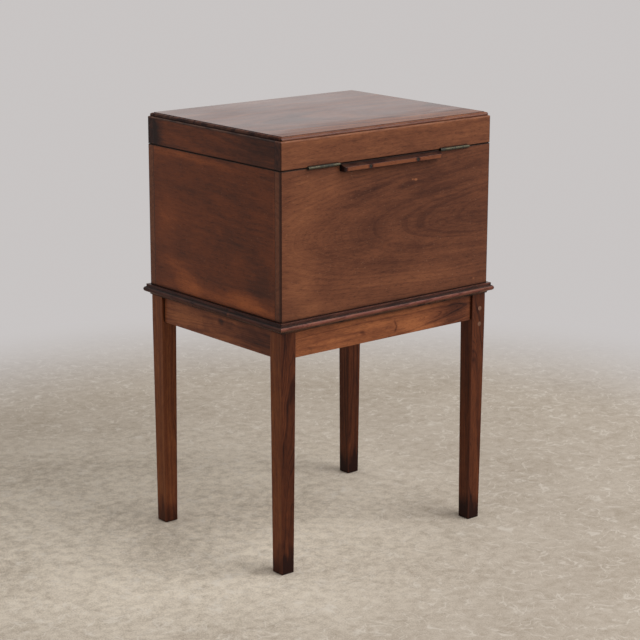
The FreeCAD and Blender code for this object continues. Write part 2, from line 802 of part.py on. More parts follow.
def build_lid():
    roundings = [(lid_bottom, arris_radius), (rail_top, lid_rail_round)]
    rails = board_frame(lid_bottom, rail_top, roundings)
    up = Vector(0, 0, 1)
    link_screws, link_bores = screw_set(link_screw, link_screw_places(), up)
    rails["front"] = cut_all(rails["front"], link_bores + [link_plate_body()])
    leaves = {}
    hinge_screws = []
    back_cuts = []
    for name, centre in HINGE_CENTRES.items():
        screws, bores = screw_set(hinge_screw, hinge_screw_places(centre, lid_bottom), up)
        hinge_screws += screws
        back_cuts += bores + [moved(hinge_gain(True), centre)]
        leaves[f"hinge_lid_leaf_{name}"] = cut_all(moved(hinge_leaf(True), centre), bores)
    rails["back"] = cut_all(rails["back"], back_cuts)
    return {
        "lid_top": lid_panel(),
        **{f"lid_{side}": rail for side, rail in rails.items()},
        **leaves,
        "hinge_lid_screws": Part.makeCompound(hinge_screws),
        "link_plate": cut_all(link_plate(), link_bores),
        "link_screws": Part.makeCompound(link_screws),
    }


def lid_stop_angle():
    """Opening in degrees at which the back of the lid meets the outer edge of the stop rail."""
    across = half_depth + stop_rail_projection - hinge_axis_y
    below = hinge_axis_z - (box_top - stop_rail_drop - stop_rail_slope)
    offset = hinge_axis_y - half_depth
    lean = math.degrees(math.atan2(below, across))
    return lean + math.degrees(math.acos(-offset / math.hypot(across, below)))


def main():
    os.makedirs("parts", exist_ok=True)
    nodes = {**build_stand(), **build_box(), **build_lid()}
    for name, shape in nodes.items():
        shape.exportStep(f"parts/{name}.step")
    print(f"{len(nodes)} nodes, lid meets its stop at {lid_stop_angle():.1f} degrees")


main()
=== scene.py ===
"""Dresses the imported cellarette: polished mahogany, patinated brass, pale floor, soft light."""
import math
import bpy
from mathutils import Matrix, Vector


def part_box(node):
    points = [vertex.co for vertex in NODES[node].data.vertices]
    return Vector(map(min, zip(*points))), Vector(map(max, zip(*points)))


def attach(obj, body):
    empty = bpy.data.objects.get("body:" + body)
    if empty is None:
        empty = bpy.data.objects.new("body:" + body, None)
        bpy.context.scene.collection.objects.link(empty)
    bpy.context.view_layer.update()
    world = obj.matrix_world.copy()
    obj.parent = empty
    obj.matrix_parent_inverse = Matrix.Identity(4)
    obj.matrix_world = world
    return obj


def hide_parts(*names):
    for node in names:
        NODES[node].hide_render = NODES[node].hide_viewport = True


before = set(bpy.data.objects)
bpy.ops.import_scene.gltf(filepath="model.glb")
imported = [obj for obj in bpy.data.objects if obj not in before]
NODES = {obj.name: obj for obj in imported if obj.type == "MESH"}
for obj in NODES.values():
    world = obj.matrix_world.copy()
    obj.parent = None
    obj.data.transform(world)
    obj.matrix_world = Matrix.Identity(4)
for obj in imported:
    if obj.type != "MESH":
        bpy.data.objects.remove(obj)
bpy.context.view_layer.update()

# ---- levels of the joints, from the frame ---------------------------------------------------
SEAM = (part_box("box_left")[1][2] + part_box("lid_left")[0][2]) / 2
RAIL_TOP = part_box("lid_left")[1][2]
FRAME_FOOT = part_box("moulding_left")[0][2]
FRAME_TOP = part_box("moulding_left")[1][2]
QUIRK = FRAME_FOOT + 0.0127    # under the top fillet of the moulding
BEAD = FRAME_FOOT + 0.0094     # nose of the bead of the moulding

# ---- camera, metres and degrees -------------------------------------------------------------
CAMERA_PLACE = Vector((2.08525, 2.49540, 1.1837))
CAMERA_HEADING = 140.085      # 0 looks along +Y, 90 along -X
CAMERA_DOWN = 14.289
CAMERA_ROLL = 0.153
CAMERA_LENS = 111.17          # mm
CAMERA_SENSOR = 36            # mm
CAMERA_REACH = 100

# ---- light ----------------------------------------------------------------------------------
STUDIO_COLOUR = (1.0, 0.985, 0.97)
STUDIO_LEVEL = 0.56
KEY_PLACE = (-1.3, 2.5, 2.9)
KEY_TARGET = (0, 0, 0.45)
KEY_WIDTH = 3.6
KEY_POWER = 92                # W
HORIZON = (0.02, 0.22)        # sine of the height over which the backdrop pales

# ---- colours, linear ------------------------------------------------------------------------
WALL_COLOUR = (0.58, 0.555, 0.55)
SKY_COLOUR = (1.0, 0.96, 0.95)
FLOOR_COLOUR = (0.58, 0.51, 0.43)
# A paler floor colour painted round the stand as a pool of light, and where it is centred.
FLOOR_PALE_COLOUR = (0.84, 0.750, 0.625)
FLOOR_PALE_MIDDLE = (0.25, -0.15, 0.0)
FLOOR_PALE_RADIUS = (0.20, 0.75)    # where the painted pool of light is full and where it ends
FLOOR_SCUFF_COLOUR = (0.76, 0.70, 0.62)
FLOOR_SPOT_COLOUR = (0.40, 0.335, 0.265)
FLOOR_RADIUS = (0.82, 1.5)    # where the floor begins and ends its sweep up into the backdrop
FLOOR_HALF = 14.0

# Darkest to lightest colour of each wood, at these places on the tone scale.
TONE_STOPS = (0.08, 0.38, 0.62, 0.95)
MAHOGANY = ((0.024, 0.0095, 0.0075), (0.092, 0.032, 0.0180), (0.168, 0.060, 0.030),
            (0.29, 0.110, 0.050))
RED_MAHOGANY = ((0.020, 0.0065, 0.0055), (0.080, 0.0215, 0.0125), (0.135, 0.041, 0.021),
                (0.25, 0.088, 0.038))
END_MAHOGANY = ((0.022, 0.0085, 0.0062), (0.090, 0.0275, 0.0135), (0.185, 0.051, 0.0195),
                (0.36, 0.104, 0.034))
APRON_MAHOGANY = ((0.024, 0.0090, 0.0070), (0.098, 0.030, 0.0150), (0.192, 0.061, 0.0270),
                  (0.36, 0.126, 0.049))
LEG_MAHOGANY = ((0.020, 0.0060, 0.0045), (0.084, 0.0235, 0.0105), (0.148, 0.043, 0.0165),
                (0.26, 0.088, 0.030))
PURPLE_MAHOGANY = ((0.012, 0.007, 0.006), (0.056, 0.019, 0.013), (0.135, 0.040, 0.027),
                   (0.28, 0.098, 0.074))
PORE_COLOUR = (0.012, 0.005, 0.004)
ARRIS_COLOUR = (0.30, 0.125, 0.065)
CORNER_COLOUR = (0.020, 0.009, 0.007)
LEG_CORNER_COLOUR = (0.110, 0.036, 0.022)
# Dirt and painted shade in joints, quirks and hollows, of wood and metal.
DIRT_COLOUR = (0.006, 0.004, 0.0035)
SPECK_COLOUR = (0.42, 0.24, 0.15)


# ---- node trees -----------------------------------------------------------------------------
class Graph:
    """Short calls for building one node tree."""

    def __init__(self, tree):
        self.tree = tree
        tree.nodes.clear()

    def add(self, kind, inputs=None, **settings):
        node = self.tree.nodes.new("ShaderNode" + kind)
        for name, value in settings.items():
            setattr(node, name, value)
        for socket, value in (inputs or {}).items():
            self.feed(node.inputs[socket], value)
        return node

    def feed(self, socket, value):
        if isinstance(value, bpy.types.NodeSocket):
            self.tree.links.new(value, socket)
        elif socket.type == "RGBA" and len(value) == 3:
            socket.default_value = (*value, 1)
        else:
            socket.default_value = value

    def math(self, operation, *values, clamp=False):
        inputs = dict(enumerate(values))
        return self.add("Math", inputs, operation=operation, use_clamp=clamp).outputs[0]

    def vector(self, operation, *values):
        node = self.add("VectorMath", operation=operation)
        sockets = [s for s in node.inputs if s.enabled]
        for socket, value in zip(sockets, values):
            self.feed(socket, value)
        return [s for s in node.outputs if s.enabled][0]

    def split(self, vector):
        outputs = self.add("SeparateXYZ", {0: vector}).outputs
        return {axis: outputs[axis] for axis in "XYZ"}

    def blend(self, factor, a, b):
        node = self.add("Mix", data_type="RGBA")
        sockets = [s for s in node.inputs if s.enabled]
        for socket, value in zip(sockets, (factor, a, b)):
            self.feed(socket, value)
        return [s for s in node.outputs if s.enabled][0]

    def noise(self, vector, scale=1.0, detail=2.0, roughness=0.5):
        inputs = {"Vector": vector, "Scale": scale, "Detail": detail, "Roughness": roughness}
        return self.add("TexNoise", inputs).outputs["Fac"]

    def noise_along(self, value, detail=3.0):
        inputs = {"W": value, "Scale": 1.0, "Detail": detail, "Roughness": 0.6}
        return self.add("TexNoise", inputs, noise_dimensions="1D").outputs["Fac"]

    def ease(self, value, low, high, start=0.0, end=1.0):
        """Smooth step from start at low to end at high."""
        inputs = {0: value, 1: low, 2: high, 3: start, 4: end}
        return self.add("MapRange", inputs, interpolation_type="SMOOTHSTEP").outputs[0]

    def ramp(self, value, stops):
        node = self.add("ValToRGB", {0: value})
        elements = node.color_ramp.elements
        while len(elements) < len(stops):
            elements.new(0.5)
        for element, (place, colour) in zip(elements, stops):
            element.position = place
            element.color = (*colour, 1)
        return node.outputs[0]

    def total(self, values):
        result = values[0]
        for value in values[1:]:
            result = self.math("ADD", result, value)
        return result

    def product(self, values):
        result = values[0]
        for value in values[1:]:
            result = self.math("MULTIPLY", result, value)
        return result

    def square(self, value):
        return self.math("MULTIPLY", value, value)

    def centred(self, value, strength):
        """A 0 to 1 value turned into -strength/2 to strength/2."""
        return self.math("MULTIPLY", self.math("SUBTRACT", value, 0.5), strength)

    def openness(self, reach):
        """1 in the open, falling towards 0 where other surfaces stand within reach."""
        return self.add("AmbientOcclusion", {"Distance": reach}, samples=8).outputs["AO"]

    def object_place(self):
        return self.add("TexCoord").outputs["Object"]


def new_material(name):
    material = bpy.data.materials.new(name)
    material.use_nodes = True
    return material, Graph(material.node_tree)


# ---- mahogany -------------------------------------------------------------------------------
GRAIN_ORDER = {"X": "XYZ", "Y": "YXZ", "Z": "ZXY"}    # along the grain, across, through
SEED_SHIFT = (0.37, 0.91, 0.53)       # how far one seed moves the noise
BAND_SEED_SHIFT = 7.3
VEIN_SEED_SHIFT = 3.1
VEIN_RATE = 1.7                       # of the vein noise to the band noise
FIBRE_DRIFT = (0.05, 0.020, 0.020)    # metres that the fibres wander
# Scales of the noises, per metre along and across the grain.
WARP_SCALE = (4.0, 11.0)
FIBRE_SCALE = (7.0, 240.0)
FLECK_SCALE = (48.0, 190.0)
CLOUD_SCALE = (9.0, 22.0)
MARK_EDGE_SCALE = (22.0, 55.0)
POLISH_EDGE_SCALE = (6.0, 55.0)
SMUDGE_SCALE = (7.0, 16.0)
PORE_SCALE = (120.0, 1900.0)
SPECK_SCALE = (260.0, 420.0)
RUB_SCALE = (35.0, 90.0)
SMEAR_SCALE = (11.0, 19.0)
# Values between which a noise or a turned normal begins to show and is full.
VEIN_GAP = (0.0, 0.05)
PORE_LEVELS = (0.56, 0.68)
SPECK_LEVELS = (0.66, 0.74)
RUB_LEVELS = (0.36, 0.60)
MARK_LEVELS = (1.15, 0.15)
LEVEL_ARRIS = (0.06, 0.32)
UPRIGHT_ARRIS = (0.02, 0.16)
UPRIGHT_FACE = (0.25, 0.60)
END_FACE = (0.08, 0.40)
DIRT_OPENNESS = (0.85, 0.42)
DIRT_LINE_EDGE = (0.7, 1.5)           # in half widths of the line
ARRIS_RADIUS = 0.0014
PORE_COVER = 0.45
END_POLISH = 0.22                     # share of the polish left on rounded end grain
FAR_POLISH = (-0.05, -0.17, 1.0, 1.10)    # a little more polish towards the front
POLISH_EDGE_REACH = 0.14              # metres over which the edge of the polish is torn
SMUDGE_DEPTH = 0.55
COAT_ROUGHNESS = 0.12
SMEAR_ROUGHNESS = 0.16
PORE_ROUGHNESS = 0.10
DIRT_ROUGHNESS = 0.25
WOOD_IOR = 1.5
RELIEF_STRENGTH = 0.35
RELIEF_DEPTH = 0.00012
FIBRE_RELIEF = 0.35                   # height of the fibres to the depth of the pores
PLAIN_MIDDLE_TONE = 0.55              # of unpolished wood, as shares of its colour
PLAIN_LIGHT_TONE = 1.3

WOOD = {
    "tones": MAHOGANY,
    "lift": 0.0,              # added to the tone everywhere
    "side_lift": (0.0, 0.0),  # painted light and shade, partly the faces' own tone, added on faces that look along X, Y and, where given, Z
    "bands": 0.6,             # growth rings
    "veins": 0.20,            # thin dark lines that follow the rings
    "streaks": 0.45,          # long fibres
    "flecks": 0.40,           # short dashes
    "clouds": 0.65,           # broad figure
    "pith": (0.0, 0.3),       # middle of the rings, across and through
    "lean": (0.03, 0.05),     # how the pith wanders off as it runs along the grain
    "swell": (0.0, 0.0),      # place along the grain and share that close the rings to ovals
    "pitch": 0.009,           # width of one ring
    "specks": 0.0,            # pale worn dots
    "gloss": 0.34,            # middle of the roughness under the polish
    "sheen": 0.1,             # specular level under the polish
    "polish": 0.04,           # weight of the clear coat
    "worn_polish": None,      # (where it is full, where it is worn, what is left) along Y
    "wear": 0.55,             # pale level arrises
    "corner": 0.85,           # cover of the upright corners
    "corner_colour": CORNER_COLOUR,
    "end_line": None,         # (begins, full, cover) along Y, on faces that look along X
    "grime": 0.92,            # dirt and painted shade in joints and quirks
    "dirt_reach": 0.007,
    "dirt_lines": (),         # level joints darkened with dirt and painted shade of the gap, as (height, half width)
    "marks": (),
    "marks_plane": "XZ",
    "ragged": 1.4,            # how torn the edges of the marks are
}


def stretched(g, vector, along, across):
    return g.vector("MULTIPLY", vector, (along, across, across))


def grain_space(g, grain, seed):
    """Object place turned so that x runs along the grain, and a seeded copy of it."""
    parts = g.split(g.object_place())
    along, across, through = (parts[axis] for axis in GRAIN_ORDER[grain])
    wood = g.add("CombineXYZ", {0: along, 1: across, 2: through}).outputs[0]
    return wood, g.vector("ADD", wood, tuple(seed * step for step in SEED_SHIFT))


def ring_radius(g, wood, look):
    """Distance from the leaning pith, in ring pitches."""
    parts = g.split(wood)
    squares = []
    for axis, pith, lean in zip("YZ", look["pith"], look["lean"]):
        slope = g.math("MULTIPLY", parts["X"], lean)
        offset = g.math("ADD", g.math("SUBTRACT", parts[axis], pith), slope)
        squares.append(g.square(offset))
    middle, share = look["swell"]
    if share:
        squares.append(g.square(g.math("MULTIPLY", g.math("SUBTRACT", parts["X"], middle), share)))
    return g.math("DIVIDE", g.math("SQRT", g.total(squares)), look["pitch"])


def ring_tones(g, radius, seed, look):
    """Broad bands, and thin dark veins where a second ring noise crosses its middle."""
    bands = g.noise_along(g.math("ADD", radius, seed * BAND_SEED_SHIFT))
    quicker = g.math("ADD", g.math("MULTIPLY", radius, VEIN_RATE), seed * VEIN_SEED_SHIFT)
    second = g.noise_along(quicker, detail=1.0)
    gap = g.math("ABSOLUTE", g.math("SUBTRACT", second, 0.5))
    veins = g.ease(gap, *VEIN_GAP, -look["veins"], 0.0)
    return [g.centred(bands, look["bands"]), veins]


def patch(g, plane, centre, size, angle, strength, ragged):
    """Soft oval mark on a face: plane names its two axes, sizes in metres, angle in degrees."""
    parts = g.split(g.object_place())
    u = g.math("SUBTRACT", parts[plane[0]], centre[0])
    v = g.math("SUBTRACT", parts[plane[1]], centre[1])
    c, s = math.cos(math.radians(angle)), math.sin(math.radians(angle))
    along = g.math("ADD", g.math("MULTIPLY", u, c / size[0]), g.math("MULTIPLY", v, s / size[0]))
    across = g.math("ADD", g.math("MULTIPLY", u, -s / size[1]), g.math("MULTIPLY", v, c / size[1]))
    reach = g.math("SQRT", g.math("ADD", g.square(along), g.square(across)))
    return g.ease(g.math("ADD", reach, ragged), *MARK_LEVELS, 0.0, strength)


def turned_edges(g, rounded):
    """Size of the normal along each axis, and how far it turns over level and upright arrises."""
    turned = g.add("VectorTransform", {0: rounded}, vector_type="NORMAL", convert_from="WORLD",
                   convert_to="OBJECT").outputs[0]
    x, y, z = (g.math("ABSOLUTE", part) for part in g.split(turned).values())
    level = g.ease(g.math("MULTIPLY", z, g.math("MAXIMUM", x, y)), *LEVEL_ARRIS)
    upright = g.ease(g.math("MULTIPLY", x, y), *UPRIGHT_ARRIS)
    return (x, y, z), level, upright


def wood_tone(g, grain, seed, look, facing):
    """Light and dark of the wood from 0 to 1, with the warped place that the pores follow."""
    wood, seeded = grain_space(g, grain, seed)
    warp = g.add("TexNoise", {"Vector": stretched(g, seeded, *WARP_SCALE), "Scale": 1.0,
                              "Detail": 3.0})
    drift = g.vector("MULTIPLY", g.vector("SUBTRACT", warp.outputs["Color"], (0.5, 0.5, 0.5)),
                     FIBRE_DRIFT)
    warped = g.vector("ADD", seeded, drift)
    radius = ring_radius(g, g.vector("ADD", wood, drift), look)
    fibres = g.noise(stretched(g, warped, *FIBRE_SCALE), detail=4.0, roughness=0.65)
    flecks = g.noise(stretched(g, warped, *FLECK_SCALE), detail=3.0, roughness=0.6)
    clouds = g.noise(stretched(g, warped, *CLOUD_SCALE), detail=4.0, roughness=0.6)
    tone = ring_tones(g, radius, seed, look)
    tone += [g.centred(fibres, look["streaks"]), g.centred(flecks, look["flecks"]),
             g.centred(clouds, look["clouds"])]
    if look["marks"]:
        torn = g.noise(stretched(g, seeded, *MARK_EDGE_SCALE), detail=4.0)
        ragged = g.centred(torn, look["ragged"])
        tone += [patch(g, look["marks_plane"], *mark, ragged) for mark in look["marks"]]
    # Painted light and shade by the way each face looks, partly the face's own tone such as dark
    # end grain.
    for face, lift in zip(facing, look["side_lift"]):
        if lift:
            tone.append(g.math("MULTIPLY", face, lift))
    return g.math("ADD", g.total(tone), 0.5 + look["lift"]), warped, fibres


def worn_down(g, look, seeded, x_face):
    """Weight of the polish, full at the first place along Y and worn down at the second.

    It is thin on the rounded ends of the grain, which face along X.
    """
    if look["worn_polish"] is None:
        return look["polish"]
    full, worn, left = look["worn_polish"]
    torn = g.noise(stretched(g, seeded, *POLISH_EDGE_SCALE), detail=5.0, roughness=0.65)
    edge = g.centred(torn, POLISH_EDGE_REACH)
    place = g.math("ADD", g.split(g.object_place())["Y"], edge)
    middle = g.ease(place, full, worn, look["polish"], left)
    far = g.ease(place, *FAR_POLISH)
    smudges = g.noise(stretched(g, seeded, *SMUDGE_SCALE), detail=5.0, roughness=0.65)
    rubbed = g.math("ADD", g.centred(smudges, SMUDGE_DEPTH), 1.0)
    ends = g.ease(x_face, *END_FACE, 1.0, END_POLISH)
    return g.product([middle, far, rubbed, ends])


def corner_cover(g, look, x_face, upright):
    """Cover of the upright corners, and of the strip beside them on faces along X."""
    cover = g.math("MULTIPLY", upright, look["corner"])
    if look["end_line"] is None:
        return cover
    begins, full, strength = look["end_line"]
    reach = g.math("ABSOLUTE", g.split(g.object_place())["Y"])
    strip = g.math("MULTIPLY", g.ease(reach, begins, full, 0.0, strength), x_face)
    return g.math("MAXIMUM", cover, strip)


def line_dirt(g, lines, upright):
    """Dirt and painted shade along the level joints: 1 on upright faces at the given heights, and
    0 elsewhere.
    """
    height = g.split(g.object_place())["Z"]
    full, gone = DIRT_LINE_EDGE
    covers = []
    for middle, half in lines:
        gap = g.math("ABSOLUTE", g.math("SUBTRACT", height, middle))
        covers.append(g.ease(gap, full * half, gone * half, 1.0, 0.0))
    return g.math("MULTIPLY", g.total(covers), g.ease(upright, *UPRIGHT_FACE))


def mahogany(name, grain, seed, **changes):
    """Polished mahogany: rings, fibres, cloudy figure, pores, worn arrises, dirty joints with
    painted shade, and painted light and shade by face.
    """
    look = {**WOOD, **changes}
    material, g = new_material(name)
    rounded = g.add("Bevel", {"Radius": ARRIS_RADIUS}, samples=6).outputs[0]
    facing, level, upright = turned_edges(g, rounded)
    tone, warped, fibres = wood_tone(g, grain, seed, look, facing)
    colour = g.ramp(tone, list(zip(TONE_STOPS, look["tones"])))

    pores = g.ease(g.noise(stretched(g, warped, *PORE_SCALE), detail=1.0), *PORE_LEVELS)
    colour = g.blend(g.math("MULTIPLY", pores, PORE_COVER), colour, PORE_COLOUR)
    if look["specks"]:
        dots = g.ease(g.noise(stretched(g, warped, *SPECK_SCALE), detail=2.0), *SPECK_LEVELS)
        colour = g.blend(g.math("MULTIPLY", dots, look["specks"]), colour, SPECK_COLOUR)

    rubbed = g.ease(g.noise(stretched(g, warped, *RUB_SCALE), detail=3.0), *RUB_LEVELS)
    colour = g.blend(g.product([level, rubbed, look["wear"]]), colour, ARRIS_COLOUR)
    colour = g.blend(corner_cover(g, look, facing[0], upright), colour, look["corner_colour"])
    # Dirt and painted shade where other surfaces stand close, and along the level joints.
    dirt = g.ease(g.openness(look["dirt_reach"]), *DIRT_OPENNESS, 0.0, look["grime"])
    if look["dirt_lines"]:
        side_on = g.math("MAXIMUM", facing[0], facing[1])
        dirt = g.math("ADD", dirt, line_dirt(g, look["dirt_lines"], side_on))
        dirt = g.math("MINIMUM", dirt, look["grime"])
    colour = g.blend(dirt, colour, DIRT_COLOUR)

    smears = g.noise(stretched(g, warped, *SMEAR_SCALE), detail=3.0)
    rough = g.total([g.math("MULTIPLY", smears, SMEAR_ROUGHNESS),
                     g.math("MULTIPLY", pores, PORE_ROUGHNESS),
                     g.math("MULTIPLY", dirt, DIRT_ROUGHNESS)])
    rough = g.math("ADD", rough, look["gloss"] - SMEAR_ROUGHNESS / 2)
    relief = g.math("SUBTRACT", g.math("MULTIPLY", fibres, FIBRE_RELIEF), pores)
    bump = g.add("Bump", {"Strength": RELIEF_STRENGTH, "Distance": RELIEF_DEPTH,
                          "Height": relief, "Normal": rounded})
    shader = g.add("BsdfPrincipled", {
        "Base Color": colour, "Roughness": rough, "IOR": WOOD_IOR,
        "Specular IOR Level": look["sheen"],
        "Coat Weight": worn_down(g, look, warped, facing[0]), "Coat Roughness": COAT_ROUGHNESS,
        "Normal": bump.outputs[0], "Coat Normal": rounded})
    g.add("OutputMaterial", {0: shader.outputs[0]})
    return material


def plain_wood(name, grain, seed, colour, dark):
    """Unpolished wood of the hidden parts, and the end grain of the plugs."""
    tones = (dark, tuple(PLAIN_MIDDLE_TONE * c for c in colour), colour,
             tuple(PLAIN_LIGHT_TONE * c for c in colour))
    return mahogany(name, grain, seed, tones=tones, bands=0.5, clouds=0.25, gloss=0.62, polish=0.0,
                    wear=0.1, corner=0.1, grime=0.5)


# ---- metal ----------------------------------------------------------------------------------
TARNISH_SCALE = 140.0         # per metre, as are the next two
GRIT_SCALE = 900.0
SCRATCH_SCALE = (60.0, 1500.0, 1500.0)
TARNISH_LEVELS = (0.62, 0.78)
TARNISH_GRIT = 0.3            # how much the grit tears the edge of the tarnish
TARNISH_DULLING = 0.55        # loss of the metallic look
TARNISH_ROUGHNESS = 0.25
SCRATCH_ROUGHNESS = 0.12
METAL_RELIEF_STRENGTH = 0.4
METAL_RELIEF_DEPTH = 0.0001
METAL_DIRT_REACH = 0.003
METAL_DIRT_OPENNESS = (0.75, 0.35)
METAL_GRIME = 0.85


def old_metal(name, bright, dull, rough, tarnish):
    """Metal with dull patches of tarnish, fine scratches, and dirt with painted shade where pieces
    meet.
    """
    material, g = new_material(name)
    place = g.object_place()
    patches = g.noise(place, scale=TARNISH_SCALE, detail=4.0, roughness=0.6)
    grit = g.noise(place, scale=GRIT_SCALE, detail=3.0)
    scratches = g.noise(g.vector("MULTIPLY", place, SCRATCH_SCALE), detail=2.0)
    low, high = (level - tarnish for level in TARNISH_LEVELS)
    cover = g.ease(g.math("ADD", patches, g.centred(grit, TARNISH_GRIT)), low, high)
    colour = g.blend(cover, bright, dull)
    # Dirt and painted shade where pieces meet: darker and less metallic there.
    dirt = g.ease(g.openness(METAL_DIRT_REACH), *METAL_DIRT_OPENNESS, 0.0, METAL_GRIME)
    colour = g.blend(dirt, colour, DIRT_COLOUR)
    metallic = g.math("SUBTRACT", 1.0, g.math("MULTIPLY", cover, TARNISH_DULLING))
    rough = g.total([g.math("MULTIPLY", cover, TARNISH_ROUGHNESS),
                     g.math("MULTIPLY", scratches, SCRATCH_ROUGHNESS), rough])
    relief = g.math("ADD", grit, scratches)
    bump = g.add("Bump", {"Strength": METAL_RELIEF_STRENGTH, "Distance": METAL_RELIEF_DEPTH,
                          "Height": relief})
    shader = g.add("BsdfPrincipled", {
        "Base Color": colour, "Metallic": g.math("SUBTRACT", metallic, dirt, clamp=True),
        "Roughness": rough, "Normal": bump.outputs[0]})
    g.add("OutputMaterial", {0: shader.outputs[0]})
    return material


def dress(material, *nodes):
    """Puts the material on every slot of the nodes."""
    for node in nodes:
        for material_slot in NODES[node].material_slots:
            material_slot.material = material


# ---- what each piece is made of -------------------------------------------------------------
# Marks, with place and half sizes in metres: (place), (half sizes), angle in degrees, strength.
# A strength above 0 is lighter. The plane of the marks names the two axes of their places.
BACK_MARKS = (
    ((-0.085, 0.580), (0.185, 0.120), 0, -0.12),
    ((0.050, 0.560), (0.075, 0.090), 20, -0.08),
    ((0.030, 0.611), (0.060, 0.005), -10, -0.17),
    ((0.010, 0.590), (0.090, 0.040), -10, 0.08),
    ((-0.036, 0.609), (0.030, 0.006), -9, -0.13),
    ((0.185, 0.540), (0.060, 0.120), 0, 0.16),
    ((0.150, 0.622), (0.080, 0.028), 0, 0.15),
    ((0.180, 0.450), (0.050, 0.040), 0, 0.12),
    ((-0.020, 0.455), (0.200, 0.020), 2, 0.12),
    ((0.120, 0.430), (0.090, 0.014), 2, 0.12),
    ((-0.0568, 0.6153), (0.0040, 0.0022), 0, 1.30),
    ((-0.0500, 0.6165), (0.0022, 0.0014), 0, 0.80),
    ((-0.192, 0.432), (0.0030, 0.0022), 0, 0.30),
)
END_MARKS = (
    ((-0.117, 0.547), (0.045, 0.055), 60, 0.14),
    ((-0.133, 0.502), (0.034, 0.070), 20, 0.05),
    ((-0.045, 0.511), (0.050, 0.018), 0, 0.06),
    ((-0.084, 0.450), (0.075, 0.030), -20, 0.24),
    ((-0.060, 0.650), (0.150, 0.010), -2, 0.24),
    ((0.000, 0.430), (0.190, 0.018), 0, 0.22),
    ((0.095, 0.436), (0.078, 0.020), -4, 0.30),
    ((0.164, 0.560), (0.009, 0.120), 0, 0.18),
    ((0.150, 0.630), (0.040, 0.016), 0, -0.05),
    ((0.060, 0.540), (0.100, 0.070), 30, -0.06),
    ((0.098, 0.604), (0.075, 0.034), 0, -0.05),
    ((0.124, 0.478), (0.060, 0.050), 0, -0.13),
    ((-0.030, 0.600), (0.060, 0.035), 20, 0.03),
    ((0.030, 0.585), (0.060, 0.016), -15, 0.08),
    ((-0.100, 0.610), (0.060, 0.020), 0, 0.02),
)
# The first mark darkens the rounded top edge of the end rail: grime and painted shade.
LID_END_MARKS = (
    ((0.000, RAIL_TOP - 0.0006), (0.600, 0.0030), 0, -0.70),
    ((-0.168, 0.680), (0.036, 0.090), 0, -0.50),
    ((0.130, 0.682), (0.100, 0.080), 0, -0.16),
    ((-0.080, 0.670), (0.070, 0.020), 0, 0.07),
)
LID_BACK_MARKS = (
    ((0.150, RAIL_TOP - 0.0030), (0.160, 0.0080), 0, 0.16),
    ((-0.080, RAIL_TOP - 0.0020), (0.200, 0.0050), 0, 0.10),
)
LID_FRONT_MARKS = (((0.2232, 0.682), (0.005, 0.080), 0, -0.42),)
LID_TOP_MARKS = (
    ((0.000, 0.178), (3.000, 0.072), 0, 0.25),
    ((-0.120, 0.120), (0.120, 0.030), 8, 0.10),
)
# The first mark darkens the end of the rail: dark end grain and painted shade. The other two
# darken round the screws.
STOP_RAIL_MARKS = (
    ((0.1040, 0.6520), (0.0060, 0.0300), 0, -0.90),
    ((0.0505, 0.6506), (0.0068, 0.0052), 0, -0.60),
    ((-0.0505, 0.6506), (0.0068, 0.0052), 0, -0.60),
)
NEAR_CORNER = (0.1690, 0.1725, 0.66)    # end_line of the boards whose ends show beside it
# Level joints darkened with dirt and painted shade of the gap, as (height, half width).
BOX_DIRT = ((SEAM, 0.0014), (FRAME_TOP, 0.0008))
LID_DIRT = ((SEAM, 0.0014), (RAIL_TOP, 0.0003))


def dress_box():
    dress(mahogany("mahogany_box_back", "X", 1.0, pith=(0.145, 0.545), lean=(0.02, 0.02),
                   swell=(-0.30, 0.16), bands=0.22, veins=0.06, streaks=0.26, flecks=0.30,
                   clouds=0.34, lift=0.055, side_lift=(-0.02, 0.0), specks=0.2, ragged=0.8,
                   end_line=NEAR_CORNER, dirt_lines=BOX_DIRT, marks=BACK_MARKS), "box_back")
    dress(mahogany("mahogany_box_end", "Y", 2.0, tones=END_MAHOGANY, pith=(0.16, 0.50),
                   lean=(0.02, 0.10), bands=0.14, veins=0.03, streaks=0.26, flecks=0.28,
                   clouds=0.42, lift=0.02, specks=0.15, wear=1.0, ragged=0.8,
                   dirt_lines=BOX_DIRT, marks=END_MARKS, marks_plane="YZ"), "box_right")
    dress(mahogany("mahogany_box_far_end", "Y", 3.0, pith=(-0.14, 0.60), lean=(0.02, 0.08),
                   bands=0.16, veins=0.06, streaks=0.30, clouds=0.35, dirt_lines=BOX_DIRT),
          "box_left")
    dress(mahogany("mahogany_box_front", "X", 4.0, pith=(-0.13, 0.52), lean=(0.03, 0.02),
                   swell=(0.05, 0.25), bands=0.16, veins=0.06, streaks=0.30, clouds=0.35,
                   side_lift=(0.10, 0.0), dirt_lines=BOX_DIRT), "box_front")
    # The rail's end and top face are painted near black for the shade under the lid, with dark end
    # grain and dirt; a painted shade line runs under the seam.
    dress(mahogany("mahogany_stop_rail", "X", 5.0, tones=RED_MAHOGANY, pith=(0.15, 0.60),
                   pitch=0.004, bands=0.2, veins=0.06, streaks=0.28, clouds=0.16, lift=0.30,
                   wear=0.12, side_lift=(-1.0, 0.0, -0.76), dirt_reach=0.011, ragged=0.4,
                   dirt_lines=((SEAM - 0.0010, 0.0010),), marks=STOP_RAIL_MARKS), "stop_rail")


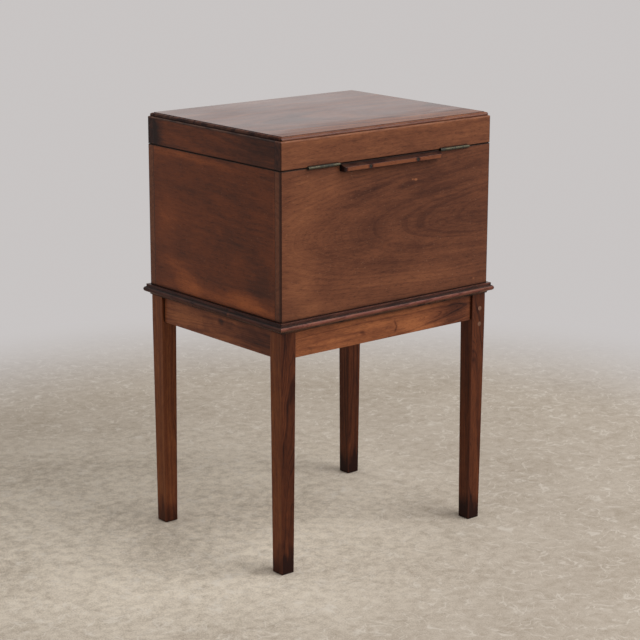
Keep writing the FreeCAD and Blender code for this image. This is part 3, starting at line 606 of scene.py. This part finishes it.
def dress_lid():
    # Painted shade darkens the rounded edges of the lid top, most on those along X.
    dress(mahogany("mahogany_lid_top", "X", 6.0, tones=RED_MAHOGANY, pith=(0.05, 0.50),
                   lean=(0.05, 0.04), gloss=0.24, sheen=0.0, polish=0.73,
                   worn_polish=(0.080, 0.160, 0.41), lift=0.14, side_lift=(-0.78, -0.25),
                   wear=0.18, corner=0.5, ragged=0.9, marks=LID_TOP_MARKS, marks_plane="XY",
                   dirt_lines=((RAIL_TOP, 0.0003),)), "lid_top")
    rail = {"bands": 0.26, "veins": 0.06, "clouds": 0.35, "streaks": 0.36, "dirt_lines": LID_DIRT}
    dress(mahogany("mahogany_lid_back", "X", 7.0, pith=(0.05, 0.60), lift=0.16, wear=0.5,
                   corner=0.45, side_lift=(-0.47, 0.0), ragged=1.0, marks=LID_BACK_MARKS,
                   **rail), "lid_back")
    dress(mahogany("mahogany_lid_front", "X", 8.0, pith=(-0.05, 0.60), lift=0.05, ragged=0.5,
                   marks=LID_FRONT_MARKS, end_line=NEAR_CORNER, **rail), "lid_front")
    end = {"tones": END_MAHOGANY, "pith": (0.0, 0.60), "wear": 0.25, **rail}
    dress(mahogany("mahogany_lid_end", "Y", 9.0, lift=-0.02, ragged=0.5, marks=LID_END_MARKS,
                   marks_plane="YZ", **end), "lid_right")
    dress(mahogany("mahogany_lid_far_end", "Y", 10.0, **end), "lid_left")


APRON_MARKS = {
    "back": (
        ((-0.158, 0.382), (0.060, 0.055), 0, -0.36),
        ((-0.0215, 0.3800), (0.0030, 0.0090), -25, -0.30),
        ((-0.0225, 0.3700), (0.0030, 0.0080), 25, -0.30),
        ((0.0490, 0.3755), (0.0080, 0.0055), 20, -0.24),
        ((0.0800, 0.3780), (0.0420, 0.0040), 4, -0.13),
        ((0.020, 0.385), (0.060, 0.008), 0, 0.20),
        ((-0.060, 0.370), (0.050, 0.010), 10, 0.22),
        ((0.130, 0.385), (0.050, 0.014), 0, -0.10),
    ),
    "right": (
        ((0.012, 0.3895), (0.010, 0.009), 10, -0.34),
        ((0.032, 0.386), (0.022, 0.011), 0, -0.17),
        ((-0.090, 0.382), (0.070, 0.024), 0, 0.20),
        ((0.110, 0.380), (0.070, 0.034), 0, -0.24),
    ),
    "front": (((0.060, 0.380), (0.060, 0.012), 0, 0.16),),
    "left": (((-0.050, 0.380), (0.050, 0.014), 0, -0.14),),
}
# Grain, seed, pith, plane of the marks, lift and veins of each apron.
APRONS = {
    "back": ("X", 11.0, (0.164, 0.376), "XZ", 0.26, 0.18),
    "front": ("X", 12.0, (-0.164, 0.384), "XZ", 0.22, 0.18),
    "right": ("Y", 13.0, (0.180, 0.340), "YZ", 0.125, 0.07),
    "left": ("Y", 14.0, (-0.190, 0.340), "YZ", 0.16, 0.12),
}
# Painted shade over the fillet and quirk, a painted highlight on the nose of the bead and painted
# shade in the cove under it.
BEAD_MARKS = (
    ((0.0, FRAME_TOP - 0.0026), (0.8, 0.0030), 0, -0.10),
    ((0.0, BEAD), (0.8, 0.0042), 0, 0.26),
    ((0.0, FRAME_FOOT + 0.0010), (0.8, 0.0040), 0, -0.36),
)
# A painted highlight along the bead near the corner, and a dark nick with a pale fleck.
SPLICE_MARKS = (
    ((0.1120, BEAD), (0.0660, 0.0042), 0, 0.17),
    ((0.0440, 0.4130), (0.0034, 0.0160), 8, -0.90),
    ((0.0500, 0.4115), (0.0040, 0.0034), 0, 0.55),
)
# The end along X has a low lift and red tones for the painted shade and dark reflection it shows
# beside the back.
MOULDINGS = {
    "back": {"wear": 0.3, "ragged": 0.7, "tones": PURPLE_MAHOGANY, "polish": 0.10,
             "marks": BEAD_MARKS},
    "front": {"tones": PURPLE_MAHOGANY, "polish": 0.10},
    "right": {"lift": -0.27, "wear": 0.1, "tones": RED_MAHOGANY, "polish": 0.05,
              "marks_plane": "YZ", "marks": SPLICE_MARKS},
    "left": {"lift": -0.10, "tones": PURPLE_MAHOGANY, "polish": 0.10},
}
# Which way each leg stands from the middle, and its painted light and shade, partly its own tone,
# on faces along X and along Y.
LEGS = {
    "back_right": ((1, 1), (0.19, -0.14)),
    "front_right": ((1, -1), (0.26, 0.19)),
    "back_left": ((-1, 1), (-0.06, -0.04)),
    "front_left": ((-1, -1), (-0.12, -0.10)),
}
LEG_PITH = (0.19, 0.12)       # middle of a leg's rings, from the middle of the stand
FOOT_MARKS = (((0.0, 0.0), (3.0, 0.048), 0, -0.42),)    # dark foot of a leg
MOULDING_SEED_STEP = 4        # from an apron's seed to that of its moulding


def dress_stand():
    for side, (grain, seed, pith, plane, lift, veins) in APRONS.items():
        dress(mahogany(f"mahogany_apron_{side}", grain, seed, tones=APRON_MAHOGANY,
                       pith=pith, lean=(-0.06, 0.03), pitch=0.005, bands=0.50, clouds=0.45,
                       veins=veins, lift=lift, ragged=1.0, marks=APRON_MARKS[side],
                       marks_plane=plane), f"apron_{side}")
        dress(mahogany(f"mahogany_moulding_{side}", grain, seed + MOULDING_SEED_STEP,
                       pith=(0.0, 0.35), pitch=0.005, bands=0.25, streaks=0.2, flecks=0.2,
                       clouds=0.35, gloss=0.28, dirt_lines=((QUIRK, 0.0009),),
                       **MOULDINGS[side]), f"moulding_{side}")
    for seed, (corner, ((x, y), side_lift)) in enumerate(LEGS.items()):
        dress(mahogany(f"mahogany_leg_{corner}", "Z", 21.0 + seed, tones=LEG_MAHOGANY,
                       pith=(LEG_PITH[0] * x, LEG_PITH[1] * y), lean=(0.01, 0.03), pitch=0.005,
                       bands=0.42, streaks=0.32, clouds=0.32, side_lift=side_lift, polish=0.01,
                       marks=FOOT_MARKS, corner=0.55, corner_colour=LEG_CORNER_COLOUR),
              f"leg_{corner}")
    dress(plain_wood("softwood_blocks", "X", 31.0, (0.45, 0.30, 0.17), (0.20, 0.11, 0.06)),
          "glue_blocks")
    dress(plain_wood("plug_wood", "Z", 32.0, (0.33, 0.17, 0.108), (0.15, 0.07, 0.040)),
          "leg_plugs")


def dress_inside():
    inside = {"colour": (0.20, 0.095, 0.05), "dark": (0.06, 0.025, 0.014)}
    for grain, names in {"Y": ("partition_cross_1", "partition_cross_2", "partition_cross_3"),
                         "X": ("partition_long_1", "partition_long_2")}.items():
        dress(plain_wood(f"partition_wood_{grain}", grain, 33.0, **inside), *names)
    dress(plain_wood("bottom_wood", "X", 35.0, (0.40, 0.25, 0.14), (0.15, 0.08, 0.045)),
          "box_bottom")


def dress_metal():
    """Dresses the metal parts, and returns the materials of the screws by record slot."""
    hinge = old_metal("hinge_brass", (0.088, 0.080, 0.054), (0.034, 0.034, 0.026), 0.36, 0.16)
    lock = old_metal("lock_brass", (0.28, 0.20, 0.085), (0.09, 0.072, 0.04), 0.42, 0.10)
    steel = old_metal("dark_steel", (0.066, 0.058, 0.048), (0.022, 0.020, 0.018), 0.40, 0.14)
    for side in ("left", "right"):
        dress(hinge, f"hinge_box_leaf_{side}", f"hinge_lid_leaf_{side}")
        dress(steel, f"hinge_pin_{side}")
    dress(lock, "lock_plate", "lock_case", "link_plate")
    dress(steel, "lock_bolt", "frame_screws")
    return {"screw_steel": steel, "screw_brass": lock}


# ---- round slotted screws in place of the plain ones ----------------------------------------
SCREW_STEPS = 40
HEAD_EDGE = 0.00012
THREAD_PITCH = 0.0009
THREAD_CORE = 0.72            # share of the shank radius at the root of the thread
PLAIN_NECK = 0.001            # of the shank, between the head and the thread
THREAD_STOP = 2.5             # pitches between the thread and the tip
TIP_SHARES = (0.6, 0.1)       # of the shank radius, one pitch above the tip and at it
SLOT_HALF = 0.00042
SLOT_DEPTH = 0.00075
SLOT_ABOVE = 0.001            # how far the slot's cutter stands above the head
SLOT_REACH = 1.3              # half length of the cutter, in head radii
SLOT_TURN = 47                # degrees from one screw's slot to the next
BOX_MARGIN = 1e-5
# Node: where its screws point, head and shank radius in metres, body, record slot, slot angle.
SCREWS = {
    "stop_rail_screws": ((0, -1, 0), 0.00285, 0.0015, "box", "screw_steel", 35),
    "hinge_box_screws": ((0, 0, -1), 0.00235, 0.0011, "box", "screw_brass", 10),
    "hinge_lid_screws": ((0, 0, 1), 0.00235, 0.0011, "lid", "screw_brass", -20),
    "lock_screws": ((0, -1, 0), 0.00195, 0.0009, "box", "screw_brass", 5),
    "link_screws": ((0, 0, 1), 0.00215, 0.0010, "lid", "screw_brass", 80),
}


def screw_mesh(name, head, shank, length):
    """Countersunk screw down -Z from a softly rounded head, with a threaded shank; slotted() cuts
    the slot.
    """
    vertices, faces = [], []

    def ring(radius, z):
        start = len(vertices)
        for i in range(SCREW_STEPS):
            turn = 2 * math.pi * i / SCREW_STEPS
            vertices.append((radius * math.cos(turn), radius * math.sin(turn), z))
        return start

    def join(upper, lower):
        for i in range(SCREW_STEPS):
            j = (i + 1) % SCREW_STEPS
            faces.append((upper + i, lower + i, lower + j, upper + j))

    profile = [(head - HEAD_EDGE, 0.0), (head, -HEAD_EDGE), (head, -2 * HEAD_EDGE),
               (shank, shank - head)]
    depth = shank - head - PLAIN_NECK
    while depth > -length + THREAD_STOP * THREAD_PITCH:
        profile += [(shank, depth), (shank * THREAD_CORE, depth - THREAD_PITCH / 2)]
        depth -= THREAD_PITCH
    above, tip = TIP_SHARES
    profile += [(shank * above, -length + THREAD_PITCH), (shank * tip, -length)]
    rings = [ring(radius, z) for radius, z in profile]
    for upper, lower in zip(rings, rings[1:]):
        join(upper, lower)
    faces.append(tuple(rings[0] + i for i in range(SCREW_STEPS)))
    faces.append(tuple(rings[-1] + i for i in reversed(range(SCREW_STEPS))))
    mesh = bpy.data.meshes.new(name)
    mesh.from_pydata(vertices, [], faces)
    return mesh


def slotted(mesh, head):
    """The screw mesh with a driver slot cut across its head."""
    reach = SLOT_REACH * head
    corners = [(x, y, z) for x in (-reach, reach) for y in (-SLOT_HALF, SLOT_HALF)
               for z in (-SLOT_DEPTH, SLOT_ABOVE)]
    sides = [(0, 1, 3, 2), (4, 6, 7, 5), (0, 4, 5, 1), (2, 3, 7, 6), (0, 2, 6, 4), (1, 5, 7, 3)]
    tool_mesh = bpy.data.meshes.new("slot_tool")
    tool_mesh.from_pydata(corners, [], sides)
    tool = bpy.data.objects.new("slot_tool", tool_mesh)
    blank = bpy.data.objects.new("screw_blank", mesh)
    for obj in (tool, blank):
        bpy.context.scene.collection.objects.link(obj)
    cut = blank.modifiers.new("slot", "BOOLEAN")
    cut.operation = "DIFFERENCE"
    cut.solver = "EXACT"
    cut.object = tool
    graph = bpy.context.evaluated_depsgraph_get()
    result = bpy.data.meshes.new_from_object(blank.evaluated_get(graph))
    for obj in (tool, blank):
        bpy.data.objects.remove(obj)
    return result


def islands(mesh):
    """Lists of the points that edges join in a mesh."""
    parent = list(range(len(mesh.vertices)))

    def root(i):
        while parent[i] != i:
            parent[i] = parent[parent[i]]
            i = parent[i]
        return i

    for edge in mesh.edges:
        a, b = (root(i) for i in edge.vertices)
        parent[a] = b
    groups = {}
    for vertex in mesh.vertices:
        groups.setdefault(root(vertex.index), []).append(vertex.co)
    return list(groups.values())


def touching(groups):
    """Boxes round groups of points, joined where they overlap, as the faces of one solid do."""
    boxes = []
    for points in groups:
        low = [min(p[i] for p in points) - BOX_MARGIN for i in range(3)]
        high = [max(p[i] for p in points) + BOX_MARGIN for i in range(3)]
        merged = True
        while merged:
            merged = False
            for box in boxes:
                if all(low[i] <= box[1][i] and box[0][i] <= high[i] for i in range(3)):
                    low = [min(a, b) for a, b in zip(low, box[0])]
                    high = [max(a, b) for a, b in zip(high, box[1])]
                    boxes.remove(box)
                    merged = True
                    break
        boxes.append((low, high))
    return boxes


def make_screws(materials):
    """A detailed screw for each plain one, on its place, axis and length."""
    for node, (aim, head, shank, body, slot, angle) in SCREWS.items():
        aim = Vector(aim)
        for count, (low, high) in enumerate(touching(islands(NODES[node].data)), 1):
            middle = (Vector(low) + Vector(high)) / 2
            length = abs((Vector(high) - Vector(low)).dot(aim))
            mesh = slotted(screw_mesh(f"{node}_{count}", head, shank, length), head)
            for polygon in mesh.polygons:
                polygon.use_smooth = False
            screw = bpy.data.objects.new(f"{node}_detail_{count}", mesh)
            seat = Matrix.Translation(middle - aim * (length / 2))
            point = Vector((0, 0, -1)).rotation_difference(aim).to_matrix().to_4x4()
            turn = Matrix.Rotation(math.radians(angle + SLOT_TURN * count), 4, "Z")
            screw.matrix_world = seat @ point @ turn
            bpy.context.scene.collection.objects.link(screw)
            mesh.materials.append(materials[slot])
            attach(screw, body)
            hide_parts(node)


# ---- floor, light and camera ----------------------------------------------------------------
def seen_directly(g):
    """1 for what the camera sees, by itself or in polish, metal and glass; 0 for soft light."""
    path = g.add("LightPath")
    seen = g.math("ADD", path.outputs["Is Camera Ray"], path.outputs["Is Glossy Ray"])
    return g.math("ADD", seen, path.outputs["Is Transmission Ray"], clamp=True)


SCUFF_CELLS = ((21.0, 0.0), (37.0, 5.0))    # scale and seed of each size
SCUFF_WIDTH = 0.05                          # of a cell
SCUFF_COVER = 0.55
SCUFF_BREAK_SCALE = 30.0
SCUFF_BREAK_LEVELS = (0.47, 0.60)
FLOOR_WARP_SCALE = 14.0
FLOOR_WARP = (0.14, 0.14, 0.0)              # metres
# Broad figure, mottle and grit of the floor: scale, detail, roughness and weight.
FLOOR_STAINS = ((5.0, 3.0, 0.5, 0.7), (48.0, 5.0, 0.75, 1.6), (430.0, 2.0, 0.7, 1.5))
FLOOR_STAIN_LEVELS = (-0.42, 0.62)


def scuffs(g, bent, place):
    """Cover of short pale scuffs: broken edges of two sizes of warped cells."""
    covers = []
    for scale, seed in SCUFF_CELLS:
        edge = g.add("TexVoronoi", {"Vector": bent, "Scale": scale},
                     feature="DISTANCE_TO_EDGE").outputs["Distance"]
        broken = g.noise(g.vector("ADD", place, (seed, seed, seed)), scale=SCUFF_BREAK_SCALE,
                         detail=3.0)
        covers.append(g.math("MULTIPLY", g.ease(edge, 0.0, SCUFF_WIDTH, SCUFF_COVER, 0.0),
                             g.ease(broken, *SCUFF_BREAK_LEVELS)))
    return g.math("MAXIMUM", *covers)


def floor():
    """Pale floor with a painted pool of light round the stand, sweeping softly into a pale
    backdrop colour beyond the object.
    """
    mesh = bpy.data.meshes.new("floor")
    corners = [(x * FLOOR_HALF, y * FLOOR_HALF, 0)
               for x, y in ((-1, -1), (1, -1), (1, 1), (-1, 1))]
    mesh.from_pydata(corners, [], [(0, 1, 2, 3)])
    plane = bpy.data.objects.new("floor", mesh)
    bpy.context.scene.collection.objects.link(plane)
    material, g = new_material("pale_floor")
    place = g.object_place()
    warp = g.add("TexNoise", {"Vector": place, "Scale": FLOOR_WARP_SCALE, "Detail": 3.0})
    bent = g.vector("ADD", place, g.vector("MULTIPLY", warp.outputs["Color"], FLOOR_WARP))
    stains = [g.centred(g.noise(place, *noise), weight) for *noise, weight in FLOOR_STAINS]
    cover = g.ease(g.total(stains), *FLOOR_STAIN_LEVELS)
    # Painted pool of light: the floor is paler round the stand, against its shadow.
    away = g.vector("LENGTH", g.vector("SUBTRACT", place, FLOOR_PALE_MIDDLE))
    near = g.ease(away, *FLOOR_PALE_RADIUS, 1.0, 0.0)
    clean = g.blend(near, FLOOR_COLOUR, FLOOR_PALE_COLOUR)
    colour = g.blend(cover, clean, FLOOR_SPOT_COLOUR)
    colour = g.blend(scuffs(g, bent, place), colour, FLOOR_SCUFF_COLOUR)
    ground = g.add("BsdfDiffuse", {0: colour})
    wall = g.add("Emission", {0: WALL_COLOUR})
    sweep = g.math("MULTIPLY", g.ease(g.vector("LENGTH", place), *FLOOR_RADIUS), seen_directly(g))
    shader = g.add("MixShader", {0: sweep, 1: ground.outputs[0], 2: wall.outputs[0]})
    g.add("OutputMaterial", {0: shader.outputs[0]})
    mesh.materials.append(material)


def surroundings():
    """Even studio light; the backdrop that shows in the polish pales above the horizon."""
    world = bpy.data.worlds.new("studio")
    world.use_nodes = True
    bpy.context.scene.world = world
    g = Graph(world.node_tree)
    height = g.split(g.add("TexCoord").outputs["Generated"])["Z"]
    backdrop = g.blend(g.ease(height, *HORIZON), WALL_COLOUR, SKY_COLOUR)
    light = g.add("Background", {0: STUDIO_COLOUR, 1: STUDIO_LEVEL})
    seen = g.add("Background", {0: backdrop, 1: 1.0})
    mixed = g.add("MixShader", {0: seen_directly(g), 1: light.outputs[0], 2: seen.outputs[0]})
    g.add("OutputWorld", {0: mixed.outputs[0]})


def key_lamp():
    """Wide soft disk above the back, aimed at the middle of the object."""
    data = bpy.data.lights.new("key", "AREA")
    data.shape = "DISK"
    data.size = KEY_WIDTH
    data.energy = KEY_POWER
    obj = bpy.data.objects.new("key", data)
    obj.location = KEY_PLACE
    aim = Vector(KEY_TARGET) - Vector(KEY_PLACE)
    obj.rotation_euler = aim.to_track_quat("-Z", "Y").to_euler()
    bpy.context.scene.collection.objects.link(obj)


def camera():
    """Camera at the photograph's place and angle."""
    a, e, roll = (math.radians(v) for v in (CAMERA_HEADING, CAMERA_DOWN, CAMERA_ROLL))
    forward = Vector((-math.sin(a) * math.cos(e), math.cos(a) * math.cos(e), -math.sin(e)))
    level = Vector((math.cos(a), math.sin(a), 0))
    upright = level.cross(forward)
    right = level * math.cos(roll) + upright * math.sin(roll)
    up = upright * math.cos(roll) - level * math.sin(roll)
    data = bpy.data.cameras.new("camera")
    data.sensor_width = CAMERA_SENSOR
    data.lens = CAMERA_LENS
    data.clip_end = CAMERA_REACH
    obj = bpy.data.objects.new("camera", data)
    turn = Matrix((right, up, -forward)).transposed().to_4x4()
    obj.matrix_world = Matrix.Translation(CAMERA_PLACE) @ turn
    bpy.context.scene.collection.objects.link(obj)
    bpy.context.scene.camera = obj


dress_box()
dress_lid()
dress_stand()
dress_inside()
make_screws(dress_metal())
floor()
surroundings()
key_lamp()
camera()
bpy.context.scene.view_settings.view_transform = "Standard"
